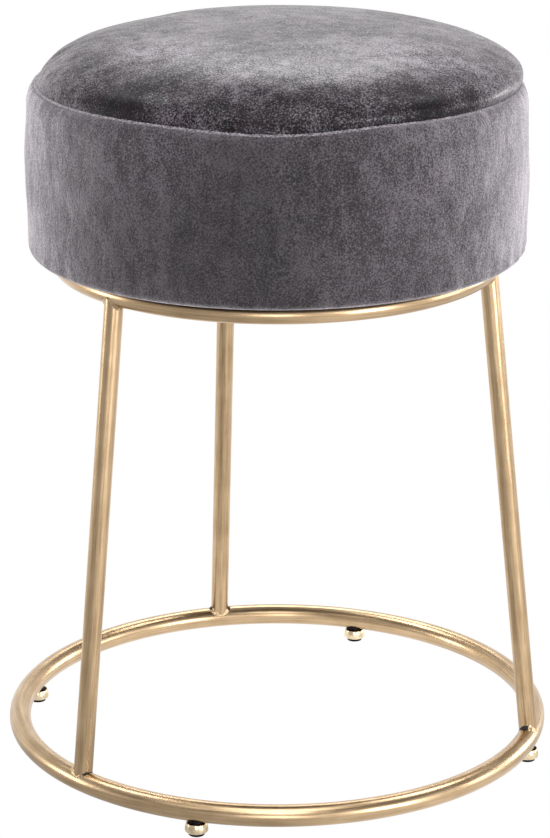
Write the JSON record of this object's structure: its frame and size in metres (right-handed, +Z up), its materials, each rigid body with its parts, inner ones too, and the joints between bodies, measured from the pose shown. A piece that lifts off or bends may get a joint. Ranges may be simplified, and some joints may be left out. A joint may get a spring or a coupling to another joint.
{
  "type": "vanity stool",
  "caption": "Round vanity stool: a drum seat in dark grey velvet with a crowned top, on a gold tube frame of two rings and splayed legs with levelling feet.",
  "frame": {"origin": "on the floor under the glide pads, on the common vertical axis of the two rings and the seat", "axes": "+Z up the axis of the seat; -Y is the side that the picture shows, +X to its right"},
  "size_m": [0.358, 0.358, 0.4792],
  "materials": {
    "gold_tube": "satin champagne-gold plating on bent steel tube, with fine lengthwise brushing",
    "weld": "plated weld bead, rippled and duller than the tube",
    "gold_cup": "polished gold plating on a pressed cup",
    "zinc_steel": "bright zinc plating",
    "black_steel": "black oxide",
    "glide_plastic": "black nylon",
    "velvet": "short-pile velvet, dark grey with a faint plum tint, pale at grazing angles",
    "thread": "twisted polyester sewing thread",
    "dust_cloth": "black spun non-woven cloth",
    "plywood": "raw birch plywood",
    "core_foam": "firm open-cell foam block",
    "top_foam": "soft open-cell foam"
  },
  "bodies": {
    "stool": {"lower_ring": "gold_tube", "upper_ring": "gold_tube", "leg_rear": "gold_tube", "weld_rear_lower": "weld", "weld_rear_upper": "weld", "leg_front_left": "gold_tube", "weld_front_left_lower": "weld", "weld_front_left_upper": "weld", "leg_right": "gold_tube", "weld_right_lower": "weld", "weld_right_upper": "weld", "foot_insert_left": "zinc_steel", "foot_insert_rear": "zinc_steel", "foot_insert_right": "zinc_steel", "foot_insert_front": "zinc_steel", "seat_tab_rear_right": "gold_tube", "seat_washer_rear_right": "zinc_steel", "seat_bolt_rear_right": "zinc_steel", "tee_nut_rear_right": "zinc_steel", "seat_tab_left": "gold_tube", "seat_washer_left": "zinc_steel", "seat_bolt_left": "zinc_steel", "tee_nut_left": "zinc_steel", "seat_tab_front": "gold_tube", "seat_washer_front": "zinc_steel", "seat_bolt_front": "zinc_steel", "tee_nut_front": "zinc_steel", "dust_cover": "dust_cloth", "seat_board": "plywood", "foam_core": "core_foam", "foam_top": "top_foam", "band_cover": "velvet", "top_cover": "velvet", "seam_thread": "thread"},
    "glide_left": {"foot_pad_left": "glide_plastic"},
    "screw_left": {"foot_stem_left": "black_steel", "foot_cup_left": "gold_cup"},
    "glide_rear": {"foot_pad_rear": "glide_plastic"},
    "screw_rear": {"foot_stem_rear": "black_steel", "foot_cup_rear": "gold_cup"},
    "glide_right": {"foot_pad_right": "glide_plastic"},
    "screw_right": {"foot_stem_right": "black_steel", "foot_cup_right": "gold_cup"},
    "glide_front": {"foot_pad_front": "glide_plastic"},
    "screw_front": {"foot_stem_front": "black_steel", "foot_cup_front": "gold_cup"}
  },
  "joints": [
    {"name": "foot_left_travel", "type": "slide", "parent": "stool", "child": "glide_left", "axis": [0, 0, -1], "range_m": [0, 0.006]},
    {"name": "foot_left_turn", "type": "hinge", "parent": "glide_left", "child": "screw_left", "pos_m": [-0.16448, 0.05029, 0.01], "axis": [0, 0, -1], "range_deg": [0, 2160]},
    {"name": "foot_rear_travel", "type": "slide", "parent": "stool", "child": "glide_rear", "axis": [0, 0, -1], "range_m": [0, 0.006]},
    {"name": "foot_rear_turn", "type": "hinge", "parent": "glide_rear", "child": "screw_rear", "pos_m": [0.056, 0.16263, 0.01], "axis": [0, 0, -1], "range_deg": [0, 2160]},
    {"name": "foot_right_travel", "type": "slide", "parent": "stool", "child": "glide_right", "axis": [0, 0, -1], "range_m": [0, 0.006]},
    {"name": "foot_right_turn", "type": "hinge", "parent": "glide_right", "child": "screw_right", "pos_m": [0.16448, -0.05029, 0.01], "axis": [0, 0, -1], "range_deg": [0, 2160]},
    {"name": "foot_front_travel", "type": "slide", "parent": "stool", "child": "glide_front", "axis": [0, 0, -1], "range_m": [0, 0.006]},
    {"name": "foot_front_turn", "type": "hinge", "parent": "glide_front", "child": "screw_front", "pos_m": [-0.05029, -0.16448, 0.01], "axis": [0, 0, -1], "range_deg": [0, 2160]}
  ],
  "couplings": [
    {"joint": "foot_left_travel", "follows": "foot_left_turn", "m_per_rad": 0.00015915},
    {"joint": "foot_rear_travel", "follows": "foot_rear_turn", "m_per_rad": 0.00015915},
    {"joint": "foot_right_travel", "follows": "foot_right_turn", "m_per_rad": 0.00015915},
    {"joint": "foot_front_travel", "follows": "foot_front_turn", "m_per_rad": 0.00015915}
  ]
}
